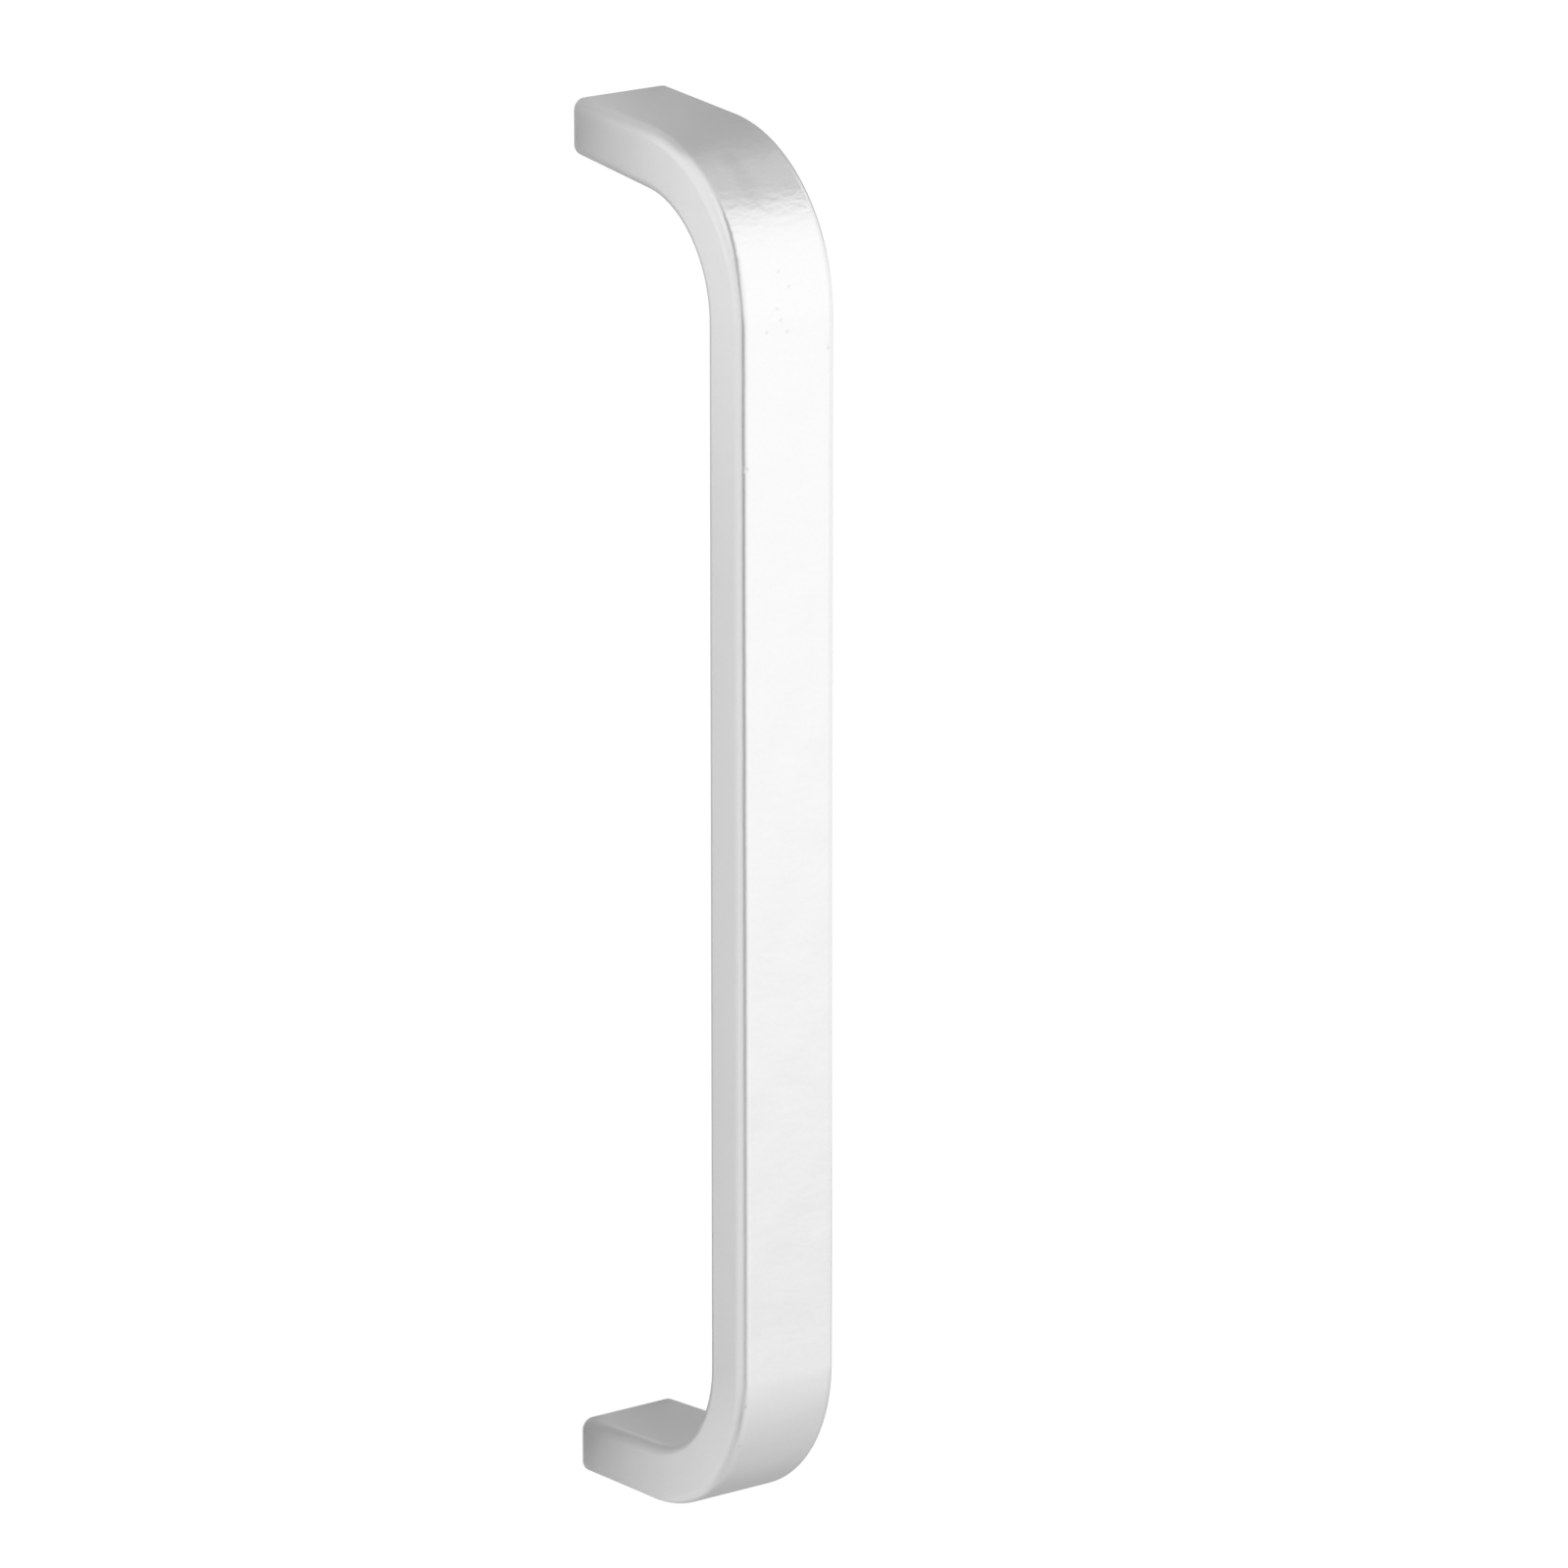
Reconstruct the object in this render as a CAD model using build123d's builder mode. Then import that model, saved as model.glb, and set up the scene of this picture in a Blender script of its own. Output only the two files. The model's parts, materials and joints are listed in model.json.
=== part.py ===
from build123d import *
from math import radians, tan
import os

# Bow handle for a cabinet door or drawer: one cast bar, turned through two bends into a shallow U,
# with a blind tapped hole in each foot. The door's face is the plane Y = 0, the handle stands in
# front of it towards -Y with its length along Z, and the origin lies on that plane, midway between
# the two screw holes.

# Driving dimensions, in millimetres and degrees
hole_spacing = 160.0  # between the centres of the two screw holes
projection = 33.0  # from the door's face to the front of the grip
bar_width = 13.5  # across the grip, side to side
grip_thickness = 6.9  # from the front of the grip to its back
foot_thickness = 6.7  # of each leg where it meets the door
bend_radius = 20.0  # on the outside of each bend
outer_draft = 3.0  # lean of the legs' outer faces, so that the feet stand wider apart than the bends
inner_draft = 5.5  # lean of the legs' inner faces, so that the finger gap widens towards the door
edge_radius = 1.4  # rounding of the bar's four long edges
foot_rim_radius = 0.25  # rounding of the rim where each foot meets the door
tapping_diameter = 3.3  # hole drilled for an M4 thread
tapping_depth = 10.0  # depth of each hole at its full diameter
mouth_diameter = 4.3  # lead-in cone, just wider than the M4 screw
mouth_angle = 90.0  # included angle of the lead-in cone
drill_point_angle = 118.0  # included angle of the cone that the drill leaves at the bottom

# Sizes that follow from the driving dimensions
outer_foot_height = (hole_spacing + foot_thickness) / 2
inner_foot_height = (hole_spacing - foot_thickness) / 2
gap_reach = projection - grip_thickness
inner_bend_radius = bend_radius - grip_thickness
drill_point_depth = tapping_diameter / 2 / tan(radians(drill_point_angle / 2))
door_face = Plane(origin=(0, 0, 0), x_dir=(-1, 0, 0), z_dir=(0, 1, 0))


def bow_line(foot_height, reach, draft, radius):
    """Draw one edge of the bar's side view, from the upper foot, round both bends, to the lower foot."""
    corner_height = foot_height - reach * tan(radians(draft))
    upper_foot = (0, foot_height)
    upper_corner = (-reach, corner_height)
    lower_corner = (-reach, -corner_height)
    lower_foot = (0, -foot_height)
    return FilletPolyline(upper_foot, upper_corner, lower_corner, lower_foot, radius=radius)


with BuildPart() as bow_handle:
    # The bar's side view: an outer and an inner line round the same bends, closed by the feet
    with BuildSketch(Plane.YZ):
        with BuildLine():
            outside = bow_line(outer_foot_height, projection, outer_draft, bend_radius)
            inside = bow_line(inner_foot_height, gap_reach, inner_draft, inner_bend_radius)
            Line(outside @ 0, inside @ 0)
            Line(outside @ 1, inside @ 1)
        make_face()
    extrude(amount=bar_width / 2, both=True)

    # Round the four long edges all the way from foot to foot
    near_side, far_side = bow_handle.faces().filter_by(Plane.YZ)
    long_edges = (near_side.edges() + far_side.edges()).group_by(Axis.Y)[:-1]
    fillet(long_edges, radius=edge_radius)

    # Take the sharpness off the rim of each foot
    feet = bow_handle.faces().group_by(Axis.Y)[-1]
    fillet(feet.edges(), radius=foot_rim_radius)

    # A blind tapped hole straight into each foot, with a lead-in and a drill point
    with Locations(door_face):
        with GridLocations(0, hole_spacing, 1, 2):
            CounterSinkHole(
                radius=tapping_diameter / 2,
                counter_sink_radius=mouth_diameter / 2,
                depth=tapping_depth,
                counter_sink_angle=mouth_angle,
            )
            with Locations((0, 0, -tapping_depth)):
                Cone(
                    bottom_radius=0,
                    top_radius=tapping_diameter / 2,
                    height=drill_point_depth,
                    align=(Align.CENTER, Align.CENTER, Align.MAX),
                    mode=Mode.SUBTRACT,
                )

os.makedirs("parts", exist_ok=True)
bow_handle.part.label = "bow_handle"
export_step(bow_handle.part, "parts/bow_handle.step")
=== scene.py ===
# %% [markdown]
# # A cast bow handle for a cabinet door
# The object is one bar of metal, about 167 mm long, turned through two bends into a shallow U. Each foot has
# a blind tapped hole, and a screw from inside the door pulls it tight. This lesson takes the CAD model of the
# handle as a fixed frame, models a smooth casting over it, cuts real threads in the feet, and then gives it
# the satin silver finish and the soft studio that it was photographed in.
#
# The CAD model is loaded first and never changed. Its box gives the width of the bar and its reach off the
# door. The finished piece must stay inside it.

# %% Load the imported frame
import json
from math import cos, pi, radians, sin, tan

import bmesh
import bpy
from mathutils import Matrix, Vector


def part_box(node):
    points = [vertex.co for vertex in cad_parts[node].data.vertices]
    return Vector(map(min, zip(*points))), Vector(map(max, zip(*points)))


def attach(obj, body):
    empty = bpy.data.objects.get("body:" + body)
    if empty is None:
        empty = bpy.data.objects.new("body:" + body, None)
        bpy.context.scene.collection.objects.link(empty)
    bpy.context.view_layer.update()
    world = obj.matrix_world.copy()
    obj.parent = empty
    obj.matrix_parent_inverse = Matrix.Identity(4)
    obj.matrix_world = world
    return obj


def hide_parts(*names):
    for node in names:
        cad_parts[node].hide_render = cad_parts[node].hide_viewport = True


mm = 0.001
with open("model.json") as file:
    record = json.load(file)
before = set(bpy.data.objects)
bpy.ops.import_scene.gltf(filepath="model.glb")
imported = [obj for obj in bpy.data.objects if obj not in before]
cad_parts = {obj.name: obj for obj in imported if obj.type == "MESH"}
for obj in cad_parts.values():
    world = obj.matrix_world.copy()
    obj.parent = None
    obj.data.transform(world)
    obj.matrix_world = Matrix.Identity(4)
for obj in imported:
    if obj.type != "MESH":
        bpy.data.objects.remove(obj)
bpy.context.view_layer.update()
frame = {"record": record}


def in_mm(lengths, digits=3):
    """Turn lengths into round numbers of millimetres, for printing."""
    return [round(length / mm, digits) for length in lengths]


# %% [markdown]
# ## The camera
# The handle was photographed from the front left and a little above, with a long lens from about a metre
# away. A camera could be aimed by eye with a Track To constraint. Here the direction, the distance and the
# lens were solved from the outline of the handle, so the camera is placed from those numbers and the render
# can be laid over the photograph. `back` points from the handle to the camera, and the aim point lies beside
# the handle because the handle does not stand in the middle of the frame.

# %% Place the camera
view_azimuth = radians(-35.46)
view_elevation = radians(16.62)
view_distance = 1107.67 * mm
aim_to_the_right = 18.536 * mm
aim_upwards = 0.725 * mm
picture_size = 1601
focal_length_in_pixels = 9692.1
sensor_width = 36.0
nearest_seen = 0.05
farthest_seen = 20.0
quarter_turn = pi / 2


def around(azimuth, elevation):
    """Point away from the handle: azimuth 0 is straight in front of it and grows to the right."""
    return Vector((sin(azimuth) * cos(elevation), -cos(azimuth) * cos(elevation), sin(elevation)))


back = around(view_azimuth, view_elevation)
right = Vector((cos(view_azimuth), sin(view_azimuth), 0.0))
up = back.cross(right)

bpy.ops.object.select_all(action="DESELECT")
bpy.ops.object.camera_add(
    location=right * aim_to_the_right + up * aim_upwards + back * view_distance,
    rotation=(quarter_turn - view_elevation, 0.0, view_azimuth),
)
camera = bpy.context.object
camera.name = "photo_camera"
camera.data.sensor_width = sensor_width
camera.data.lens = sensor_width * focal_length_in_pixels / picture_size
camera.data.clip_start = nearest_seen
camera.data.clip_end = farthest_seen
bpy.context.scene.camera = camera
bpy.context.scene.view_settings.view_transform = "Standard"
print("Camera at", in_mm(camera.location, 1), "mm with a lens of", round(camera.data.lens, 1), "mm")

# %% [markdown]
# ## The side view of half the bar
# The bar is the same above and below its middle, so only the upper half is modelled. Its side view could be
# traced as a curve and thickened, but then both faces would have the same bend. On the casting they do not:
# the legs taper, because the pattern has to leave the mould, so the outer and the inner line each have a bend
# and a lean of their own. They are drawn apart and then bridged.
#
# The start is a plane turned on edge: the straight upper half of the grip, seen from the side.

# %% Sizes of the bar
low_corner, high_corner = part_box("bow_handle")
screw_pattern = next(mount for mount in frame["record"]["mounts"] if mount["name"] == "screw_pattern")
hole_spacing = screw_pattern["dims"]["spacing_y_mm"] * mm
bar_width = high_corner.x - low_corner.x
projection = -low_corner.y
grip_thickness = 6.9 * mm
foot_thickness = 6.7 * mm
bend_radius = 20.0 * mm
outer_draft = radians(3.0)
inner_draft = radians(5.5)

outer_foot_height = (hole_spacing + foot_thickness) / 2
inner_foot_height = (hole_spacing - foot_thickness) / 2
gap_reach = projection - grip_thickness
inner_bend_radius = bend_radius - grip_thickness
print("Width of the bar and its reach off the door in mm:", in_mm((bar_width, projection)))


# %% Where each bend turns
def bend_centre(foot_height, reach, radius, draft):
    """Give y and z of the centre of a bend that touches the grip's face and the leaning face of the leg."""
    straight_leg = reach - radius
    return -straight_leg, foot_height - straight_leg * tan(draft) - radius / cos(draft)


outer_centre = bend_centre(outer_foot_height, projection, bend_radius, outer_draft)
inner_centre = bend_centre(inner_foot_height, gap_reach, inner_bend_radius, inner_draft)
print("Bend centres in mm:", in_mm(outer_centre), in_mm(inner_centre))

# %% Pick parts of a mesh in edit mode
merge_reach = 0.001 * mm


def pick(kind, test):
    """Select only the vertices, edges or faces that pass a test, as by hand, and count them."""
    bpy.ops.mesh.select_mode(type=kind)
    bpy.ops.mesh.select_all(action="DESELECT")
    mesh = bmesh.from_edit_mesh(bpy.context.object.data)
    mesh.normal_update()
    parts = {"VERT": mesh.verts, "EDGE": mesh.edges, "FACE": mesh.faces}[kind]
    chosen = [part for part in parts if test(part)]
    for part in chosen:
        part.select_set(True)
    bmesh.update_edit_mesh(bpy.context.object.data)
    return len(chosen)


def is_near(value, target):
    """Say whether two lengths agree so closely that they mean the same place."""
    return abs(value - target) < merge_reach


print("Places closer than", merge_reach / mm, "mm count as one")

# %% Start with the straight half of the grip
near_side = -bar_width / 2
bpy.ops.object.select_all(action="DESELECT")
bpy.ops.mesh.primitive_plane_add(
    size=1.0,
    location=(near_side, -(projection + gap_reach) / 2, outer_centre[1] / 2),
    rotation=(0.0, quarter_turn, 0.0),
)
handle = bpy.context.object
handle.name = "handle_casting"
handle.data.name = "handle_casting"
handle.scale = (outer_centre[1], grip_thickness, 1.0)
bpy.ops.object.transform_apply(location=True, rotation=True, scale=True)

bend_lag = outer_centre[1] - inner_centre[1]
bpy.ops.object.mode_set(mode="EDIT")
pick("VERT", lambda vert: is_near(vert.co.y, -gap_reach) and not is_near(vert.co.z, 0.0))
bpy.ops.transform.translate(value=(0.0, 0.0, -bend_lag))
print("The inner bend starts", round(bend_lag / mm, 3), "mm lower than the outer one")

# %% [markdown]
# Each bend is spun from the corner where the grip ends, about its own centre, and stops where it meets the
# lean of the leg. One more extrusion carries the line on to the foot. The two lines have the same number of
# steps, so the bridge between them is a clean ladder of four-sided faces. Many steps cost little here and
# keep the reflections in the bend free of facets.

# %% Spin the two bends and run them out to the foot
bend_steps = 56


def draw_bend(face_y, centre, radius, draft, foot_height):
    """Spin one corner of the grip round its bend, then extrude the end of it to the door's face."""
    pick("VERT", lambda vert: is_near(vert.co.y, face_y) and is_near(vert.co.z, centre[1]))
    bpy.ops.mesh.spin(
        steps=bend_steps,
        angle=quarter_turn - draft,
        center=(near_side, centre[0], centre[1]),
        axis=(1.0, 0.0, 0.0),
    )
    tangent_y = centre[0] - radius * sin(draft)
    tangent_z = centre[1] + radius * cos(draft)
    found = pick("VERT", lambda vert: is_near(vert.co.y, tangent_y) and is_near(vert.co.z, tangent_z))
    bpy.ops.mesh.extrude_vertices_move(
        TRANSFORM_OT_translate={"value": (0.0, -tangent_y, foot_height - tangent_z)},
    )
    print("Bend of", round(radius / mm, 1), "mm drawn, ends found:", found)


draw_bend(-projection, outer_centre, bend_radius, outer_draft, outer_foot_height)
draw_bend(-gap_reach, inner_centre, inner_bend_radius, inner_draft, inner_foot_height)

# %% Bridge the outer and the inner line
pick("EDGE", lambda edge: len(edge.link_faces) == 0)
bpy.ops.mesh.bridge_edge_loops()
print("Side view has", len(bmesh.from_edit_mesh(handle.data).faces), "faces")

# %% [markdown]
# ## The width and the rounded edges
# The side view is extruded across the bar, and the cut through the middle of the grip is opened again so that
# the other half can join there. The four long edges are rounded before that, all the way from the middle to
# the foot, with one bevel: its profile of 0.5 is a quarter circle, and 12 segments keep it round when the
# light slides over it.

# %% Extrude across the bar
bpy.ops.mesh.select_all(action="SELECT")
bpy.ops.mesh.extrude_region_move(TRANSFORM_OT_translate={"value": (bar_width, 0.0, 0.0)})
bpy.ops.mesh.select_all(action="SELECT")
bpy.ops.mesh.normals_make_consistent(inside=False)
opened = pick("FACE", lambda face: is_near(face.calc_center_median().z, 0.0))
bpy.ops.mesh.delete(type="FACE")
print("Opened", opened, "face in the middle of the grip")

# %% Round the four long edges
edge_radius = 1.4 * mm
edge_segments = 12
quarter_circle = 0.5


def is_long_edge(edge):
    """Find the corners between a side of the bar and its outer or inner face, leaving out the foot."""
    if len(edge.link_faces) != 2 or all(is_near(vert.co.y, 0.0) for vert in edge.verts):
        return False
    facing_sideways = [abs(face.normal.x) > 0.5 for face in edge.link_faces]
    return facing_sideways[0] != facing_sideways[1]


def round_edges(radius, segments):
    """Round the edges that are picked."""
    bpy.ops.mesh.bevel(
        offset_type="OFFSET", offset=radius, segments=segments, profile=quarter_circle, affect="EDGES",
    )


rounded = pick("EDGE", is_long_edge)
round_edges(edge_radius, edge_segments)
bpy.ops.object.mode_set(mode="OBJECT")
print("Rounded", rounded, "lengths of edge")

# %% [markdown]
# ## The other half and the feet
# A Mirror modifier makes the lower half and merges the two at the middle of the grip, which is quicker and
# more exact than modelling it twice. The rim of each foot keeps only a hair of rounding, as a ground foot
# does, so that it sits flat and without a gap on the door.

# %% Mirror the half bar
mirror = handle.modifiers.new("lower_half", "MIRROR")
mirror.use_axis = (False, False, True)
mirror.merge_threshold = merge_reach
bpy.ops.object.modifier_apply(modifier=mirror.name)
print("Both halves together have", len(handle.data.polygons), "faces")

# %% Break the rim of each foot
foot_rim_radius = 0.25 * mm
foot_rim_segments = 3


def is_foot_rim(edge):
    """Find the edges that lie in the door's face."""
    return all(is_near(vert.co.y, 0.0) for vert in edge.verts)


def close_up():
    """Merge the corners that lie on one spot and turn all faces outwards, in edit mode."""
    bpy.ops.mesh.select_all(action="SELECT")
    bpy.ops.mesh.remove_doubles(threshold=merge_reach)
    bpy.ops.mesh.normals_make_consistent(inside=False)


bpy.ops.object.mode_set(mode="EDIT")
close_up()
rim_edges = pick("EDGE", is_foot_rim)
round_edges(foot_rim_radius, foot_rim_segments)
bpy.ops.object.mode_set(mode="OBJECT")
print("Broke", rim_edges, "edges round the feet")

# %% [markdown]
# ## The tapped holes
# Each foot is drilled, countersunk a little so that the screw finds its way in, and tapped. The hole could be
# a dark disc, because nobody sees it once the handle is fitted, but this part is looked at from behind as
# well. So two cutters are made the way the tools are: a drill, lathed by spinning half its outline, and a
# tap, which is one tooth of the thread carried along a helix by the Screw modifier. Each is taken away from
# the casting by a Boolean.

# %% Outline of the drill
tapping_radius = screw_pattern["dims"]["hole_r_mm"] * mm
tapping_depth = 10.0 * mm
mouth_radius = 2.15 * mm
drill_point_angle = radians(118.0)
drill_length_outside = 0.5 * mm

lead_in_depth = mouth_radius - tapping_radius
drill_point_depth = tapping_radius / tan(drill_point_angle / 2)
drill_outline = [
    (0.0, drill_length_outside),
    (mouth_radius + drill_length_outside, drill_length_outside),
    (tapping_radius, -lead_in_depth),
    (tapping_radius, -tapping_depth),
    (0.0, -tapping_depth - drill_point_depth),
]
print("Half the drill's outline in mm:", [in_mm(point, 2) for point in drill_outline])

# %% Lathe the drill
drill_steps = 64
upper_hole = hole_spacing / 2

bpy.ops.object.select_all(action="DESELECT")
bpy.ops.mesh.primitive_plane_add(size=mm, location=(0.0, 0.0, upper_hole))
drill = bpy.context.object
drill.name = "drill"
bpy.ops.object.transform_apply(location=True, rotation=True, scale=True)
bpy.ops.object.mode_set(mode="EDIT")
bpy.ops.mesh.select_mode(type="VERT")
bpy.ops.mesh.select_all(action="SELECT")
bpy.ops.mesh.merge(type="CENTER")
bpy.ops.transform.translate(value=(*drill_outline[0], 0.0))
for (here_x, here_y), (there_x, there_y) in zip(drill_outline, drill_outline[1:]):
    step = (there_x - here_x, there_y - here_y, 0.0)
    bpy.ops.mesh.extrude_vertices_move(TRANSFORM_OT_translate={"value": step})
bpy.ops.mesh.select_all(action="SELECT")
bpy.ops.mesh.spin(steps=drill_steps, angle=2 * pi, center=(0.0, 0.0, upper_hole), axis=(0.0, 1.0, 0.0))
close_up()
bpy.ops.object.mode_set(mode="OBJECT")
print("Drill of", len(drill.data.polygons), "faces,", in_mm(drill.dimensions, 2), "mm")

# %% One tooth of the tap
thread_pitch = 0.7 * mm
thread_major_radius = 2.0 * mm
thread_angle = radians(60.0)
thread_start = -9.0 * mm
tooth_inner_radius = 1.5 * mm
tooth_height = thread_major_radius - tooth_inner_radius
tooth_tip_width = thread_pitch / 8
tooth_base_width = tooth_tip_width + 2 * tooth_height * tan(thread_angle / 2)

bpy.ops.object.select_all(action="DESELECT")
bpy.ops.mesh.primitive_plane_add(size=1.0, location=(0.0, 0.0, upper_hole))
tap = bpy.context.object
tap.name = "tap"
bpy.ops.object.mode_set(mode="EDIT")
bpy.ops.mesh.select_all(action="SELECT")
bpy.ops.transform.resize(
    value=(tooth_height, tooth_base_width, 1.0),
    center_override=(0.0, 0.0, upper_hole),
)
bpy.ops.transform.translate(value=((thread_major_radius + tooth_inner_radius) / 2, thread_start, 0.0))
pick("VERT", lambda vert: is_near(vert.co.x, thread_major_radius))
bpy.ops.transform.resize(
    value=(1.0, tooth_tip_width / tooth_base_width, 1.0),
    center_override=(thread_major_radius, thread_start, upper_hole),
)
bpy.ops.mesh.select_all(action="SELECT")
bpy.ops.mesh.delete(type="ONLY_FACE")
bpy.ops.object.mode_set(mode="OBJECT")
print("Tooth height, tip and base in mm:", in_mm((tooth_height, tooth_tip_width, tooth_base_width)))

# %% Wind the tooth into a tap
thread_turns = 14
thread_steps = 32

winding = tap.modifiers.new("winding", "SCREW")
winding.axis = "Y"
winding.angle = 2 * pi
winding.screw_offset = thread_pitch
winding.iterations = thread_turns
winding.steps = thread_steps
winding.render_steps = thread_steps
bpy.ops.object.modifier_apply(modifier=winding.name)
bpy.ops.object.transform_apply(location=True, rotation=True, scale=True)
bpy.ops.object.mode_set(mode="EDIT")
bpy.ops.mesh.select_all(action="SELECT")
bpy.ops.mesh.fill_holes(sides=4)
bpy.ops.mesh.select_all(action="SELECT")
bpy.ops.mesh.normals_make_consistent(inside=False)
bpy.ops.object.mode_set(mode="OBJECT")
print("Tap of", len(tap.data.polygons), "faces,", in_mm(tap.dimensions, 2), "mm")


# %% Drill and tap both feet
def apply_to(piece, modifier):
    """Apply one modifier, with its piece as the only thing selected."""
    bpy.ops.object.select_all(action="DESELECT")
    piece.select_set(True)
    bpy.context.view_layer.objects.active = piece
    bpy.ops.object.modifier_apply(modifier=modifier.name)


for tool in (drill, tap):
    both_feet = tool.modifiers.new("both_feet", "ARRAY")
    both_feet.count = 2
    both_feet.use_relative_offset = False
    both_feet.use_constant_offset = True
    both_feet.constant_offset_displace = (0.0, 0.0, -hole_spacing)
    apply_to(tool, both_feet)

    cut = handle.modifiers.new(tool.name, "BOOLEAN")
    cut.operation = "DIFFERENCE"
    cut.solver = "EXACT"
    cut.object = tool
    apply_to(handle, cut)
    print("After the", tool.name, "the casting has", len(handle.data.polygons), "faces")
    bpy.data.objects.remove(tool)

# %% [markdown]
# Where two cuts cross, a Boolean can leave two corners on one spot, with a sliver of no area between them.
# Nobody sees them, but they spoil an exported mesh, so such corners are merged, and the slivers go with them.

# %% Clear the slivers away
corners_before = len(handle.data.vertices)
bpy.ops.object.mode_set(mode="EDIT")
bpy.ops.mesh.select_all(action="SELECT")
bpy.ops.mesh.remove_doubles(threshold=merge_reach)
bpy.ops.object.mode_set(mode="OBJECT")
print("Merged", corners_before - len(handle.data.vertices), "corners in the holes")

# %% [markdown]
# ## Smooth shading
# A casting has no facets, so the faces are shaded smooth, but the rims of the holes and the crests of the
# thread stay sharp. Plain smooth shading would pull the flat sides of the bar towards the roundings beside
# them and make them look pillowed. A Weighted Normal modifier lets the large faces win, so that flats stay
# flat and each rounding starts exactly where it should.

# %% Shade the casting
sharp_from = radians(35.0)
bpy.ops.object.shade_smooth_by_angle(angle=sharp_from)
weighting = handle.modifiers.new("flat_sides", "WEIGHTED_NORMAL")
weighting.mode = "FACE_AREA"
weighting.keep_sharp = True
bpy.ops.object.modifier_apply(modifier=weighting.name)

solid = bmesh.new()
solid.from_mesh(handle.data)
open_edges = sum(1 for edge in solid.edges if len(edge.link_faces) != 2)
print("Volume", round(solid.calc_volume() / mm**3), "cubic mm, open edges:", open_edges)
solid.free()

# %% [markdown]
# ## The finish
# The real handle is a zinc casting that was ground on a belt, tumbled and plated a satin silver. From a step
# away it is plain metal, but its skin is not perfect. The belt left low waves and finer ripples across the
# bar, and they show where the picture in the metal turns from dark to light, as it does in the upper bend. A
# fine mottle makes the plating a little duller or brighter from place to place. An image could carry all
# this, but it would have to be unwrapped, and it would blur close up. Noise on Object coordinates needs no
# unwrapping and moves with the casting.
#
# The plating needs this skin, and so does the bare metal in the holes. So it is a node group, with its sizes
# as inputs in millimetres. It puts out only values, and each metal decides what to do with them.


# %% The skin of a casting
def add_node(tree, kind, inputs=None, **options):
    """Add a node, set its options, and give its inputs plain values or links from other nodes."""
    node = tree.nodes.new(kind)
    for option, choice in options.items():
        setattr(node, option, choice)
    for socket, value in (inputs or {}).items():
        if isinstance(value, bpy.types.NodeSocket):
            tree.links.new(value, node.inputs[socket])
        else:
            node.inputs[socket].default_value = value
    return node


def calculate(tree, operation, *values, **options):
    """Add one step of maths between plain values or links, and give its result."""
    step = add_node(tree, "ShaderNodeMath", dict(enumerate(values)), operation=operation, **options)
    return step.outputs["Value"]


def rescale(tree, value, span=(0.0, 1.0), result=(0.0, 1.0), **options):
    """Turn a value that runs over a span into one that runs over the result and holds still beyond it."""
    limits = {"From Min": span[0], "From Max": span[1], "To Min": result[0], "To Max": result[1]}
    return add_node(tree, "ShaderNodeMapRange", {"Value": value, **limits}, **options).outputs["Result"]


skin = bpy.data.node_groups.new("casting_skin", "ShaderNodeTree")
for size_name in ("Ripple Length", "Ripple Depth", "Wave Length", "Wave Depth", "Mottle Length"):
    skin.interface.new_socket(size_name, in_out="INPUT", socket_type="NodeSocketFloat")
for value_name in ("Height", "Mottle"):
    skin.interface.new_socket(value_name, in_out="OUTPUT", socket_type="NodeSocketFloat")
skin_in = add_node(skin, "NodeGroupInput")
skin_place = add_node(skin, "ShaderNodeTexCoord").outputs["Object"]
print("Skin group with inputs", [socket.name for socket in skin_in.outputs if socket.name])

# %% [markdown]
# The belt ran along the bar and the marks that it left lie across it, so the ripples are stretched sideways:
# a Mapping node squeezes the X axis before the noise sees it. Along the grip the belt ran flat, and the sides
# lay flat on it, but the upper bend was turned under it by hand, so the ripples are deepest round that bend
# and fade out at the sides. The waves and the mottle are the same everywhere.

# %% Noise for ripples, waves and mottle
squeeze_sideways = (0.6, 1.0, 1.0)
fine_detail = 2.0
no_detail = 0.0


def skin_noise(place, length_name, detail):
    """Add noise whose spots are as long as one of the lengths that the group is given."""
    spots_per_metre = calculate(skin, "DIVIDE", 1.0 / mm, skin_in.outputs[length_name])
    noise = add_node(
        skin, "ShaderNodeTexNoise", {"Vector": place, "Scale": spots_per_metre, "Detail": detail},
    )
    return noise.outputs["Fac"]


across_the_bar = add_node(skin, "ShaderNodeMapping", {"Vector": skin_place, "Scale": squeeze_sideways})
ripple = skin_noise(across_the_bar.outputs["Vector"], "Ripple Length", fine_detail)
wave = skin_noise(skin_place, "Wave Length", no_detail)
mottle = skin_noise(skin_place, "Mottle Length", fine_detail)
print("Ripples are", round(1.0 / squeeze_sideways[0], 2), "times as long across the bar as along it")

# %% Height of the skin
grip_to_bend = (56.0 * mm, 66.0 * mm)
ripples_on_the_grip = 0.3
edge_to_side = (bar_width / 2 - edge_radius, bar_width / 2)
ripples_on_the_sides = 0.1

skin_parts = add_node(skin, "ShaderNodeSeparateXYZ", {0: skin_place})
from_the_middle = calculate(skin, "ABSOLUTE", skin_parts.outputs["X"])
in_the_upper_bend = rescale(skin, skin_parts.outputs["Z"], grip_to_bend, (ripples_on_the_grip, 1.0))
off_the_sides = rescale(skin, from_the_middle, edge_to_side, (1.0, ripples_on_the_sides))
ripple_share = calculate(skin, "MULTIPLY", in_the_upper_bend, off_the_sides)
ripple_depth = calculate(skin, "MULTIPLY", ripple_share, skin_in.outputs["Ripple Depth"])
ripple_height = calculate(skin, "MULTIPLY", ripple, ripple_depth)
skin_height = calculate(skin, "MULTIPLY_ADD", wave, skin_in.outputs["Wave Depth"], ripple_height)
add_node(skin, "NodeGroupOutput", {"Height": skin_height, "Mottle": mottle})
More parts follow.
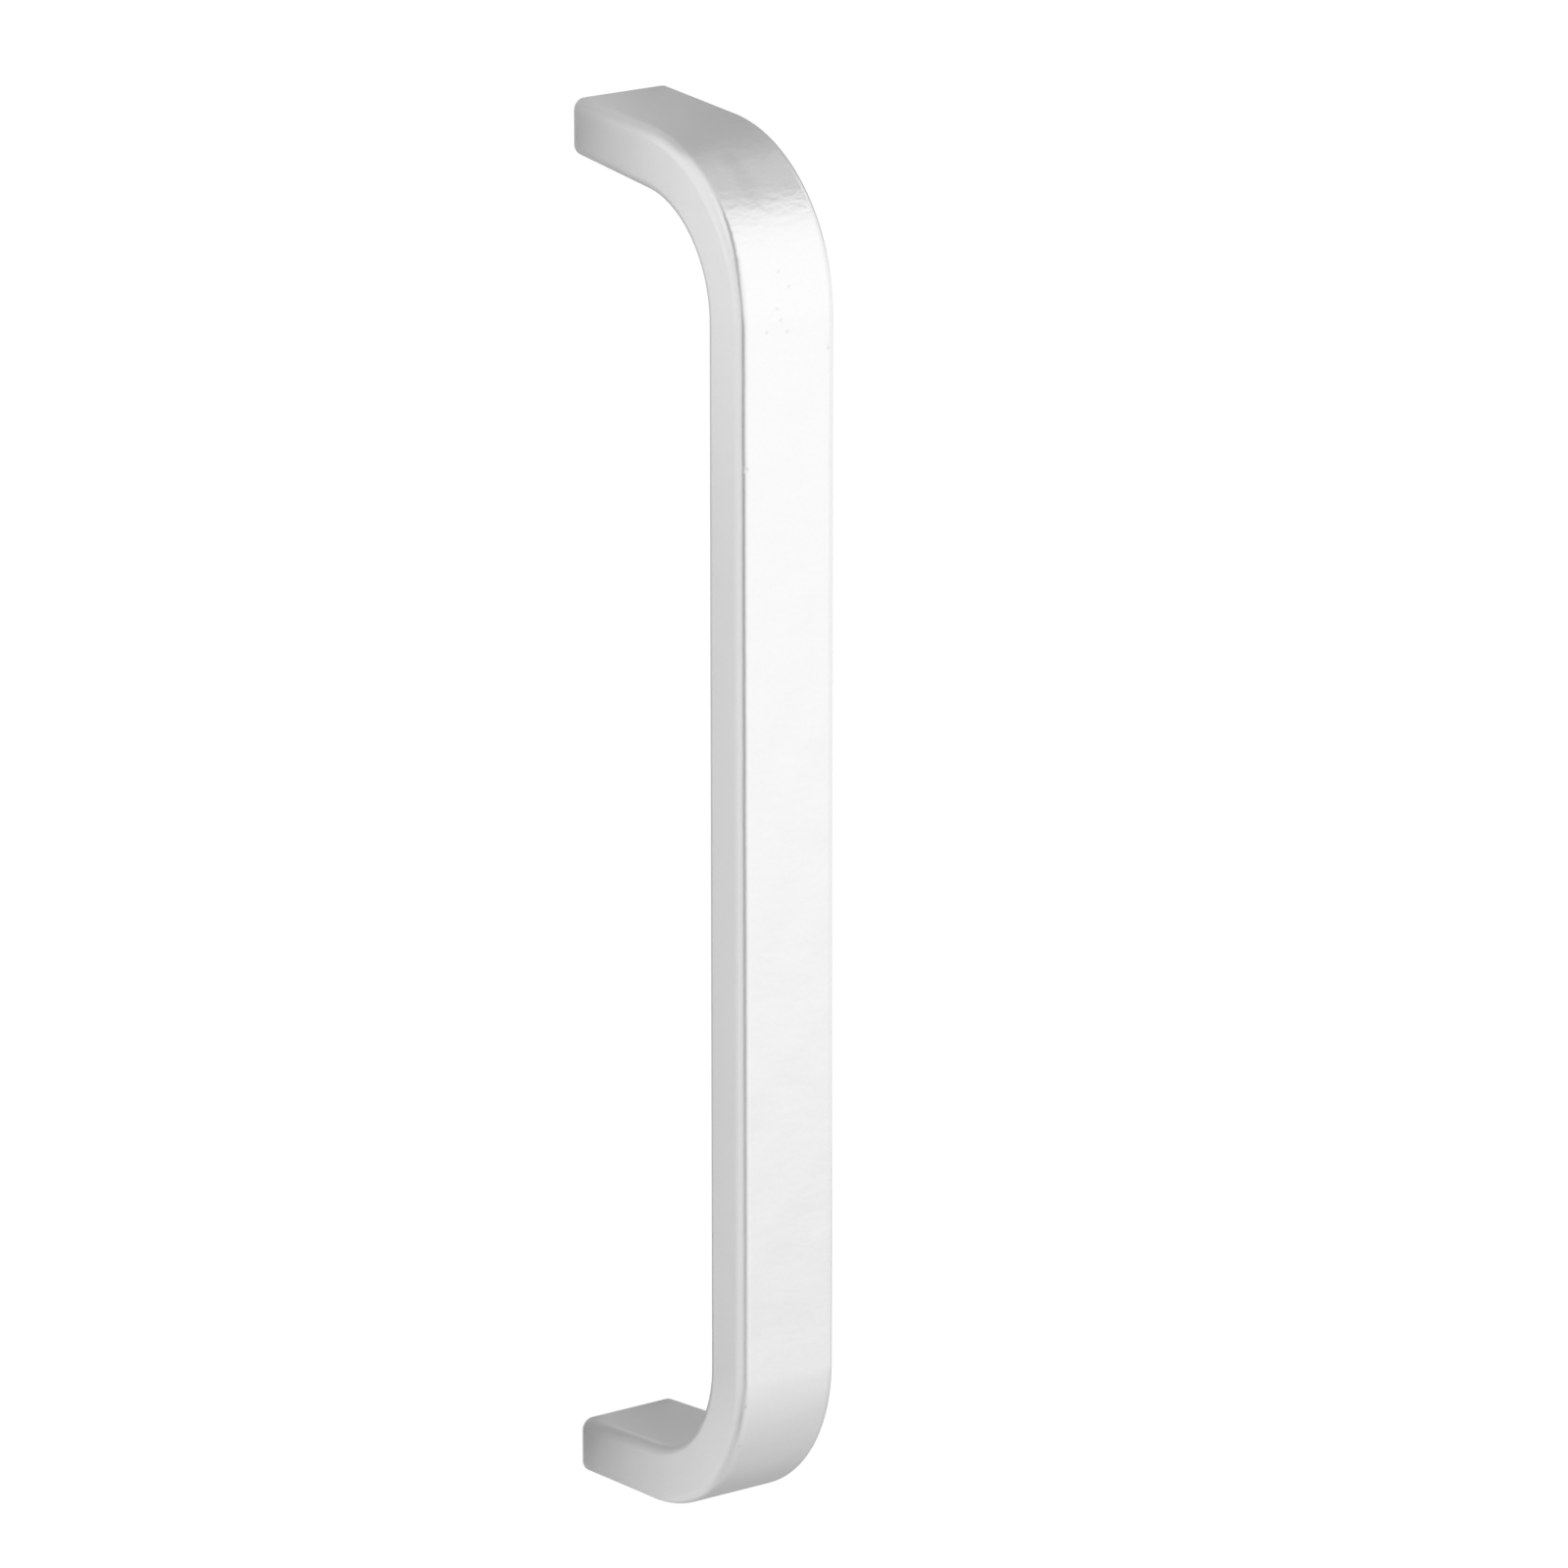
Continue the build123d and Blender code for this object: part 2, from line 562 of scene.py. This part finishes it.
print("Skin group finished with", len(skin.nodes), "nodes")


# %% A metal with that skin
def casting_metal(name, tones, roughness, skin_sizes):
    """Make a metal whose tone and gloss follow the mottle, with the ripples and waves as its relief."""
    metal = bpy.data.materials.new(name)
    metal.use_nodes = True
    tree = metal.node_tree
    shader = tree.nodes["Principled BSDF"]
    shader.inputs["Metallic"].default_value = 1.0
    its_skin = add_node(tree, "ShaderNodeGroup", skin_sizes, node_tree=skin)
    tone = rescale(tree, its_skin.outputs["Mottle"], result=tones, name="tone")
    gloss = rescale(tree, its_skin.outputs["Mottle"], result=roughness, name="gloss")
    relief = add_node(
        tree, "ShaderNodeBump", {"Height": its_skin.outputs["Height"], "Distance": mm}, name="relief",
    )
    tree.links.new(tone, shader.inputs["Base Color"])
    tree.links.new(gloss, shader.inputs["Roughness"])
    tree.links.new(relief.outputs["Normal"], shader.inputs["Normal"])
    return metal


plating = casting_metal(
    "satin_silver_plating",
    tones=(0.93, 0.97),
    roughness=(0.29, 0.35),
    skin_sizes={
        "Ripple Length": 0.9,
        "Ripple Depth": 0.065,
        "Wave Length": 5.0,
        "Wave Depth": 0.07,
        "Mottle Length": 0.45,
    },
)
handle.data.materials.clear()
handle.data.materials.append(plating)
print("Plated", handle.name, "with", plating.name)

# %% [markdown]
# ### Pits, knocks and a darker streak
# A few pits in the casting show through the plating on the front, just below the upper bend, and the near
# edge has taken some knocks. They are too shallow to change the outline, so they are dents in the material: a
# soft round spot that pushes the relief in and is painted a little darker, as painted shade in the hollow.
# One node group makes a spot of a given width and strength at a place, and the plating uses it once for each
# mark. Round the upper bend a darker streak runs along the bar. It is painted shade: it stands for the dark
# reflection in that bend, which reaches lower there. It is a row of the same spots, wider and weaker, so
# close that they run together. The places are in millimetres, in the frame of the handle.


# %% One small dent
def distance(tree, place, other):
    """Measure how far one place is from another."""
    step = add_node(tree, "ShaderNodeVectorMath", {0: place, 1: other}, operation="DISTANCE")
    return step.outputs["Value"]


dent = bpy.data.node_groups.new("small_dent", "ShaderNodeTree")
dent.interface.new_socket("Place", in_out="INPUT", socket_type="NodeSocketVector")
dent.interface.new_socket("Width", in_out="INPUT", socket_type="NodeSocketFloat")
dent.interface.new_socket("Strength", in_out="INPUT", socket_type="NodeSocketFloat")
dent.interface.new_socket("Mask", in_out="OUTPUT", socket_type="NodeSocketFloat")
dent_in = add_node(dent, "NodeGroupInput")
dent_place = add_node(dent, "ShaderNodeTexCoord").outputs["Object"]
from_dent = distance(dent, dent_place, dent_in.outputs["Place"])
half_width = calculate(dent, "DIVIDE", dent_in.outputs["Width"], 2.0)
dent_mask = rescale(
    dent, from_dent, (0.0, half_width), (dent_in.outputs["Strength"], 0.0), interpolation_type="SMOOTHSTEP",
)
add_node(dent, "NodeGroupOutput", {"Mask": dent_mask})
print("Dent group with", len(dent.nodes), "nodes")

# %% Places of the marks
pits = [
    (-0.9, -32.1, 68.6),
    (0.2, -32.6, 66.8),
    (-1.6, -32.9, 64.5),
    (-1.2, -33.0, 63.2),
    (-3.1, -33.0, 62.0),
    (-0.3, -33.0, 61.7),
    (5.4, -33.0, 59.0),
]
knocks = [
    (-5.8, -32.9, 46.5),
    (-6.0, -32.6, -65.4),
    (-5.8, -31.2, -70.8),
    (-6.6, -26.6, 57.9),
]
# The streak is painted shade: it stands for the dark reflection that reaches lower round the upper bend
shade_streak_sideways = -1.2
shade_streak_turns = range(31, 47, 3)


def on_the_upper_bend(sideways, turn):
    """Give a place on the outside of the upper bend, where turn 0 is its top and turn 90 its front."""
    angle = radians(turn)
    y = outer_centre[0] - bend_radius * sin(angle)
    z = outer_centre[1] + bend_radius * cos(angle)
    return sideways, y / mm, z / mm


streak = [on_the_upper_bend(shade_streak_sideways, turn) for turn in shade_streak_turns]
print("The streak ends at", [round(value, 1) for value in streak[-1]], "mm")

# %% Mark the plating
pit_width = 0.7
knock_width = 0.9
shade_streak_width = 4.4
full_strength = 1.0
shade_streak_strength = 0.55
dent_depth = 0.03 * mm
# Each mark is painted a little darker: painted shade in a dent, and a painted dark reflection in the streak
dent_painted_shade = 0.12

marks = [(place, pit_width, full_strength) for place in pits]
marks += [(place, knock_width, full_strength) for place in knocks]
marks += [(place, shade_streak_width, shade_streak_strength) for place in streak]

plating_tree = plating.node_tree
dents = 0.0
for place, width, strength in marks:
    mark = add_node(
        plating_tree, "ShaderNodeGroup",
        {"Place": Vector(place) * mm, "Width": width * mm, "Strength": strength}, node_tree=dent,
    )
    dents = calculate(plating_tree, "MAXIMUM", dents, mark.outputs["Mask"])
# Painted shade: the marks darken the tone of the plating
darker = rescale(plating_tree, dents, result=(1.0, 1.0 - dent_painted_shade))
plain_tone = plating_tree.nodes["tone"].outputs["Result"]
marked_tone = calculate(plating_tree, "MULTIPLY", plain_tone, darker)
plain_relief = plating_tree.nodes["relief"].outputs["Normal"]
marked_relief = add_node(
    plating_tree, "ShaderNodeBump",
    {"Height": dents, "Distance": dent_depth, "Normal": plain_relief}, invert=True,
)
plating_shader = plating_tree.nodes["Principled BSDF"]
plating_tree.links.new(marked_tone, plating_shader.inputs["Base Color"])
plating_tree.links.new(marked_relief.outputs["Normal"], plating_shader.inputs["Normal"])
print("Marks on the plating:", len(pits), "pits,", len(knocks), "knocks and", len(streak), "streak spots")

# %% [markdown]
# ### Bare metal in the holes
# Plating hardly reaches into a deep, narrow hole, and the tap cuts the thread through the skin of the
# casting. So the holes show bare zinc, duller and darker than the outside. It could be a separate piece, but
# the casting is one solid, so the faces of the holes get a second material instead, chosen by how near they
# lie to the axis of the screw.

# %% Give the holes their own metal
bare_zinc = casting_metal(
    "bare_tapped_zinc",
    tones=(0.5, 0.62),
    roughness=(0.3, 0.45),
    skin_sizes={
        "Ripple Length": 0.25,
        "Ripple Depth": 0.006,
        "Wave Length": 2.0,
        "Wave Depth": 0.01,
        "Mottle Length": 0.2,
    },
)
handle.data.materials.append(bare_zinc)
hole_bottom = -tapping_depth - drill_point_depth
hole_top = -0.01 * mm


def is_in_a_hole(face):
    """Find the faces of the lead-in, the thread and the drill point."""
    middle = face.calc_center_median()
    from_axis = Vector((middle.x, abs(middle.z) - hole_spacing / 2)).length
    return from_axis < mouth_radius and hole_bottom < middle.y < hole_top


bpy.ops.object.select_all(action="DESELECT")
handle.select_set(True)
bpy.context.view_layer.objects.active = handle
bpy.ops.object.mode_set(mode="EDIT")
hole_faces = pick("FACE", is_in_a_hole)
handle.active_material_index = 1
bpy.ops.object.material_slot_assign()
bpy.ops.object.mode_set(mode="OBJECT")
print("Bare metal on", hole_faces, "of", len(handle.data.polygons), "faces")

# %% [markdown]
# ## The studio
# Metal has hardly a colour of its own: it shows what stands round it. A photographer who wants this silver to
# look both bright and solid surrounds it with white and then sets grey cards where a face should go darker.
# The same is done here. The world is plain white at a strength of 1, which is the light that a colour renders
# true in, and one large weak lamp leans the light to the front right. The floor is a pale plane well below
# the handle.

# %% White world and soft lamp
white = (1.0, 1.0, 1.0, 1.0)
lamp_azimuth = radians(35.0)
lamp_elevation = radians(14.0)
lamp_distance = 0.85
lamp_size = 0.9
lamp_watts = 0.12

world = bpy.data.worlds.new("white_studio")
bpy.context.scene.world = world
world.use_nodes = True
world.node_tree.nodes["Background"].inputs["Color"].default_value = white
world.node_tree.nodes["Background"].inputs["Strength"].default_value = 1.0

bpy.ops.object.select_all(action="DESELECT")
bpy.ops.object.light_add(
    type="AREA",
    location=around(lamp_azimuth, lamp_elevation) * lamp_distance,
    rotation=(quarter_turn - lamp_elevation, 0.0, lamp_azimuth),
)
lamp = bpy.context.object
lamp.name = "soft_lamp"
lamp.data.shape = "SQUARE"
lamp.data.size = lamp_size
lamp.data.energy = lamp_watts
print("Lamp of", lamp_watts, "W at", [round(value, 2) for value in lamp.location])

# %% [markdown]
# ### The floor
# A pale floor under white light comes out a little under white. The camera should see it as white paper, and
# so should the metal, so for camera, glossy and transmission rays a small glow makes up the rest. All other
# rays meet plain pale paint, so the floor gives the handle no more light than paint does, and it keeps the
# shadow. Its underside is clear, so the handle can be looked at from below as well.

# %% Pale floor
floor_height = -0.3
floor_size = 12.0

bpy.ops.object.select_all(action="DESELECT")
bpy.ops.mesh.primitive_plane_add(size=floor_size, location=(0.0, 0.0, floor_height))
floor = bpy.context.object
floor.name = "floor"
print("Floor", floor_size, "m wide,", -floor_height, "m below the middle of the handle")

# %% Paint of the floor
floor_grey = 0.9
floor_glow = 0.12


def clear_from_behind(paint, front):
    """Let a material show one shader on the front of its faces and nothing at all on their backs."""
    tree = paint.node_tree
    facing = add_node(tree, "ShaderNodeNewGeometry")
    clear = add_node(tree, "ShaderNodeBsdfTransparent")
    one_sided = add_node(
        tree, "ShaderNodeMixShader",
        {0: facing.outputs["Backfacing"], 1: front.outputs["BSDF"], 2: clear.outputs["BSDF"]},
    )
    tree.links.new(one_sided.outputs["Shader"], tree.nodes["Material Output"].inputs["Surface"])


floor_paint = bpy.data.materials.new("pale_floor")
floor_paint.use_nodes = True
floor_tree = floor_paint.node_tree
floor_shader = floor_tree.nodes["Principled BSDF"]
floor_shader.inputs["Base Color"].default_value = (floor_grey, floor_grey, floor_grey, 1.0)
floor_shader.inputs["Roughness"].default_value = 1.0
floor_shader.inputs["Specular IOR Level"].default_value = 0.0
floor_shader.inputs["Emission Color"].default_value = white
ray = add_node(floor_tree, "ShaderNodeLightPath").outputs
seen_or_mirrored = calculate(floor_tree, "ADD", ray["Is Camera Ray"], ray["Is Glossy Ray"])
seen_anyhow = calculate(floor_tree, "ADD", seen_or_mirrored, ray["Is Transmission Ray"], use_clamp=True)
glow = calculate(floor_tree, "MULTIPLY", seen_anyhow, floor_glow)
floor_tree.links.new(glow, floor_shader.inputs["Emission Strength"])
clear_from_behind(floor_paint, floor_shader)
floor.data.materials.append(floor_paint)
print("Floor painted a grey of", floor_grey, "with a glow of", floor_glow)

# %% [markdown]
# ### Cards round the handle
# The grey cards are there for the metal alone. Each is hidden from the camera, from shadows and from diffuse
# light, so only a glossy ray that leaves the handle can meet one. They are painted on the side that faces the
# handle.
#
# The largest card stands in the plane of the door, with an opening for each foot, because on a door that is
# what the side, the legs and the fillets of the handle reflect.

# %% Card in the plane of the door
door_card_size = 1.4
door_card_y = -0.4 * mm


def only_in_reflections(card):
    """Keep a card out of the picture and out of the light, so that only the metal shows it."""
    card.visible_camera = False
    card.visible_diffuse = False
    card.visible_transmission = False
    card.visible_shadow = False


def add_upright_card(name, size, y):
    """Stand a square card upright at a place along Y, with its painted side to the front."""
    bpy.ops.object.select_all(action="DESELECT")
    bpy.ops.mesh.primitive_plane_add(size=size, location=(0.0, y, 0.0), rotation=(quarter_turn, 0.0, 0.0))
    card = bpy.context.object
    card.name = name
    bpy.ops.object.transform_apply(location=True, rotation=True, scale=True)
    only_in_reflections(card)
    print(name, "faces", [round(value, 2) for value in card.data.polygons[0].normal])
    return card


door_card = add_upright_card("door_card", door_card_size, door_card_y)

# %% Openings for the feet
card_overlap = 0.5 * mm
opening_side = bar_width / 2 - card_overlap
opening_low = inner_foot_height + card_overlap
opening_high = outer_foot_height - card_overlap


def is_under_a_foot(face):
    """Find the two pieces of card that a foot stands on."""
    middle = face.calc_center_median()
    return abs(middle.x) < opening_side and opening_low < abs(middle.z) < opening_high


bpy.ops.object.mode_set(mode="EDIT")
for cut_x in (-opening_side, opening_side):
    bpy.ops.mesh.select_all(action="SELECT")
    bpy.ops.mesh.bisect(plane_co=(cut_x, 0.0, 0.0), plane_no=(1.0, 0.0, 0.0))
for cut_z in (-opening_high, -opening_low, opening_low, opening_high):
    bpy.ops.mesh.select_all(action="SELECT")
    bpy.ops.mesh.bisect(plane_co=(0.0, 0.0, cut_z), plane_no=(0.0, 0.0, 1.0))
openings = pick("FACE", is_under_a_foot)
bpy.ops.mesh.delete(type="FACE")
bpy.ops.object.mode_set(mode="OBJECT")
print("Door card with", openings, "openings")

# %% [markdown]
# The card is not one grey. It darkens towards the handle, as any wall does where something stands in front of
# it. That shade is worked out from the gap between a point of the card and the handle: the point is folded
# into one quarter by taking its place without signs, half the height and half the width of the handle are
# taken off, and what is left over is its distance. A second, round shade lies above the handle, and the top
# of the upper bend reflects it.

# %% Shade round the handle
shade_reach = 18.0 * mm
shade_at_the_handle = 0.6
shaded_half_size = (bar_width / 2, mm, outer_foot_height)
origin = (0.0, 0.0, 0.0)


def card_paint(name, grey=1.0):
    """Make a matt paint that is there only on the front of a card. It is white until something shades it."""
    paint = bpy.data.materials.new(name)
    paint.use_nodes = True
    tree = paint.node_tree
    tree.nodes.remove(tree.nodes["Principled BSDF"])
    matt = add_node(tree, "ShaderNodeBsdfDiffuse", {"Color": (grey, grey, grey, 1.0)}, name="matt")
    clear_from_behind(paint, matt)
    return paint


door_paint = card_paint("door_card_paint")
door_tree = door_paint.node_tree
door_place = add_node(door_tree, "ShaderNodeTexCoord").outputs["Object"]


def on_the_card(operation, *vectors):
    """Add one step of vector maths to the paint of the door card."""
    step = add_node(door_tree, "ShaderNodeVectorMath", dict(enumerate(vectors)), operation=operation)
    return step.outputs["Vector"]


folded = on_the_card("ABSOLUTE", door_place)
past_the_rim = on_the_card("SUBTRACT", folded, shaded_half_size)
outside_only = on_the_card("MAXIMUM", past_the_rim, origin)
gap = distance(door_tree, outside_only, origin)
near_shade = rescale(door_tree, gap, (0.0, shade_reach), (shade_at_the_handle, 1.0))
print("Shade reaches", shade_reach / mm, "mm from the handle")

# %% Shade above the handle
shade_above_middle = (0.0, 0.0, 130.0 * mm)
shade_above_core = 14.0 * mm
shade_above_reach = 48.0 * mm
shade_above_grey = 0.42

from_above = distance(door_tree, door_place, shade_above_middle)
shade_above = rescale(
    door_tree, from_above, (shade_above_core, shade_above_reach), (shade_above_grey, 1.0),
)
both_shades = calculate(door_tree, "MULTIPLY", near_shade, shade_above)
print("A round shade", shade_above_reach / mm, "mm in radius lies above the handle")

# %% [markdown]
# The greys of the card are painted light and shade. To the left of the handle the card is pale, painted a
# little brighter towards the top and with a painted shadow level with the top of the lower foot, and its
# greys follow the height. To the right it falls into shade and then turns pale again, and its greys follow
# the distance from the handle. Each row of greys is a Color Ramp, laid along one axis in millimetres.

# %% Greys of the door card
# Painted light and shade: brighter near the top, a painted shadow by the lower foot, shade on the right
left_greys = {
    -95.0: 0.72,
    -82.0: 0.77,
    -77.0: 0.66,
    -66.0: 0.705,
    30.0: 0.775,
    66.0: 0.905,
    100.0: 0.87,
}
right_greys = {
    -3.0: 0.62,
    6.0: 0.495,
    14.0: 0.44,
    22.0: 0.435,
    76.0: 0.54,
    200.0: 0.92,
}
turn_to_shade = (-7.5 * mm, -3.8 * mm)
card_parts = add_node(door_tree, "ShaderNodeSeparateXYZ", {0: door_place})


def greys_along(axis, greys):
    """Paint a grey at each place in millimetres along one axis, with an even change from one to the next."""
    first, *between, last = greys
    along = rescale(door_tree, card_parts.outputs[axis], (first * mm, last * mm))
    ramp = add_node(door_tree, "ShaderNodeValToRGB", {"Fac": along})
    stops = ramp.color_ramp.elements
    for place in between:
        stops.new((place - first) / (last - first))
    for stop, grey in zip(stops, greys.values()):
        stop.color = (grey, grey, grey, 1.0)
    return ramp.outputs["Color"]


def blend(share, first, second):
    """Mix two greys of the door card, from the first at a share of 0 to the second at a share of 1."""
    mix = add_node(door_tree, "ShaderNodeMix", {"Factor": share, "A": first, "B": second}, data_type="FLOAT")
    return mix.outputs["Result"]


left_shaded = calculate(door_tree, "MULTIPLY", greys_along("Z", left_greys), both_shades)
to_the_right = rescale(door_tree, card_parts.outputs["X"], turn_to_shade)
door_grey = blend(to_the_right, left_shaded, greys_along("X", right_greys))
print("Door card has", len(left_greys), "greys on the left and", len(right_greys), "on the right")

# %% [markdown]
# The far edge of the grip looks past the shade on the right. If it mirrored grey, it would draw a dark line
# against the white background, so the card is nearly white where that edge sees it: well to the right, and
# only as high and as low as the straight grip reaches.

# %% White beside the grip
white_from = 14.0 * mm
white_to = 34.0 * mm
grip_shade_ends = (68.0 * mm, 56.0 * mm)
beside_grey = 0.97


def shade_card(paint, grey):
    """Let a grey that changes over a card be the colour of its paint."""
    tree = paint.node_tree
    tree.links.new(grey, tree.nodes["matt"].inputs["Color"])


folded_parts = add_node(door_tree, "ShaderNodeSeparateXYZ", {0: folded})
beside_the_grip = rescale(door_tree, folded_parts.outputs["Z"], grip_shade_ends)
well_to_the_right = rescale(door_tree, card_parts.outputs["X"], (white_from, white_to))
white_share = calculate(door_tree, "MULTIPLY", beside_the_grip, well_to_the_right)
shade_card(door_paint, blend(white_share, door_grey, beside_grey))
door_card.data.materials.append(door_paint)
print("Door card turns white", white_to / mm, "mm to the right of the grip")

# %% [markdown]
# ### The light tent
# Four more cards stand round the handle like a box without a front and a back: they shade the bends, which
# look up, down and to the sides. The lower one reaches further forward, and the lower end of the grip dips
# into its grey. The upper and the lower card change evenly from one grey to another.

# %% Light tent
tent_left = -0.30
tent_right = 0.36
tent_bottom = -0.20
tent_top = 0.35
tent_front_top = -0.165
tent_front_bottom = -0.43

bpy.ops.object.select_all(action="DESELECT")
bpy.ops.mesh.primitive_cube_add(size=1.0)
tent = bpy.context.object
tent.name = "light_tent"
tent.scale = (tent_right - tent_left, -tent_front_top, tent_top - tent_bottom)
tent.location = ((tent_left + tent_right) / 2, tent_front_top / 2, (tent_top + tent_bottom) / 2)
bpy.ops.object.transform_apply(location=True, rotation=True, scale=True)
bpy.ops.object.mode_set(mode="EDIT")
pick("FACE", lambda face: abs(face.normal.y) > 0.5)
bpy.ops.mesh.delete(type="FACE")
pick("VERT", lambda vert: is_near(vert.co.y, tent_front_top) and is_near(vert.co.z, tent_bottom))
bpy.ops.transform.translate(value=(0.0, tent_front_bottom - tent_front_top, 0.0))
bpy.ops.mesh.select_all(action="SELECT")
bpy.ops.mesh.flip_normals()
bpy.ops.object.mode_set(mode="OBJECT")
only_in_reflections(tent)
print("Light tent with", len(tent.data.polygons), "cards")

# %% Paint of the tent
left_wall_grey = 0.82
right_wall_grey = 0.97
# Each end of a fade is a place in metres and the grey there
top_fade = ((-0.12, 0.93), (0.15, 0.62))
bottom_fade = ((-0.2, 0.77), (0.0, 0.53))


def fade(paint, axis, start, end):
    """Let the grey of a card change evenly between two places along one axis."""
    tree = paint.node_tree
    place = add_node(tree, "ShaderNodeTexCoord").outputs["Object"]
    parts = add_node(tree, "ShaderNodeSeparateXYZ", {0: place})
    places = (start[0], end[0])
    greys = (start[1], end[1])
    shade_card(paint, rescale(tree, parts.outputs[axis], places, greys))


def wall_of(normal):
    """Name the wall of the tent whose painted side looks this way."""
    if abs(normal.x) > 0.5:
        return "left" if normal.x > 0 else "right"
    return "top" if normal.z < 0 else "bottom"


tent_paints = {
    "left": card_paint("tent_left", left_wall_grey),
    "right": card_paint("tent_right", right_wall_grey),
    "top": card_paint("tent_top"),
    "bottom": card_paint("tent_bottom"),
}
fade(tent_paints["top"], "X", *top_fade)
fade(tent_paints["bottom"], "Y", *bottom_fade)
walls = list(tent_paints)
for wall in walls:
    tent.data.materials.append(tent_paints[wall])
for face in tent.data.polygons:
    face.material_index = walls.index(wall_of(face.normal))
print("Tent walls painted:", walls)

# %% [markdown]
# ### The dark strip
# Nearly every picture of a shiny bar has a thin dark line down the edge that is turned to the camera: it is
# the camera and its stand, which are dark and stand in the gap of the white studio. A dark strip in front of
# the handle gives that line. It hangs from high on the right, leans over to the left on its way down, swings
# back below the middle of the handle and then runs along the ground towards it, so that the line goes on
# round both bends. Near the ground it turns paler, because the lower bend shows it only faintly.

# %% Path of the strip
strip_corners = [
    # azimuth in degrees, distance, height and width in metres
    (14.0, 0.42, 0.70, 0.20),
    (-9.0, 0.42, 0.50, 0.17),
    (-20.0, 0.42, 0.33, 0.15),
    (-41.0, 0.42, 0.15, 0.12),
    (-49.0, 0.42, 0.06, 0.12),
    (-31.0, 0.42, -0.05, 0.18),
    (-28.0, 0.42, -0.12, 0.20),
    (-16.0, 0.42, -0.18, 0.21),
    (-50.0, 0.24, -0.19, 0.12),
    (-42.0, 0.13, -0.19, 0.07),
]
strip_path = [
    (around(radians(azimuth), 0.0) * reach + Vector((0.0, 0.0, height)), width)
    for azimuth, reach, height, width in strip_corners
]
print("The strip starts at", [round(value, 2) for value in strip_path[0][0]], "m")

# %% Start of the strip
strip_turn = radians(-45.0)
start, start_width = strip_path[0]

bpy.ops.object.select_all(action="DESELECT")
bpy.ops.mesh.primitive_plane_add(size=1.0)
strip = bpy.context.object
strip.name = "dark_strip"
bpy.ops.object.mode_set(mode="EDIT")
bpy.ops.mesh.select_mode(type="EDGE")
bpy.ops.mesh.select_all(action="SELECT")
bpy.ops.transform.resize(value=(start_width, 0.0, 1.0))
bpy.ops.mesh.remove_doubles(threshold=merge_reach)
bpy.ops.object.mode_set(mode="OBJECT")
strip.location = start
strip.rotation_euler = (0.0, 0.0, strip_turn)
bpy.ops.object.transform_apply(location=True, rotation=True, scale=True)
print("The strip starts as an edge", start_width, "m wide")

# %% Extrude the strip along its path
strip_fade = ((0.0, 0.06), (-0.19, 0.4))

bpy.ops.object.mode_set(mode="EDIT")
bpy.ops.mesh.select_all(action="SELECT")
for (here, here_width), (there, there_width) in zip(strip_path, strip_path[1:]):
    bpy.ops.mesh.extrude_edges_move(TRANSFORM_OT_translate={"value": there - here})
    taper = there_width / here_width
    bpy.ops.transform.resize(value=(taper, taper, 1.0), center_override=there)
bpy.ops.object.mode_set(mode="OBJECT")

strip_paint = card_paint("strip_grey")
fade(strip_paint, "Z", *strip_fade)
strip.data.materials.append(strip_paint)
only_in_reflections(strip)
print("Dark strip of", len(strip.data.polygons), "stretches")

# %% [markdown]
# ### A card behind the door
# Seen from behind, the ground faces of the feet would mirror nothing but white and vanish into the
# background. A mid grey card behind the door gives them a tone. The door card hides it from every other part
# of the handle.

# %% Card behind
back_card_size = 4.0
back_card_y = 0.3
back_card_grey = 0.62
back_card = add_upright_card("back_card", back_card_size, back_card_y)
back_card.data.materials.append(card_paint("back_card_paint", back_card_grey))
print("Back card stands", back_card_y, "m behind the door's face")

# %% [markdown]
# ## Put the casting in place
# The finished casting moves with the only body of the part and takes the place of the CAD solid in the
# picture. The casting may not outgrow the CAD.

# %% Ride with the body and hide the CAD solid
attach(handle, "root")
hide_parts("bow_handle")
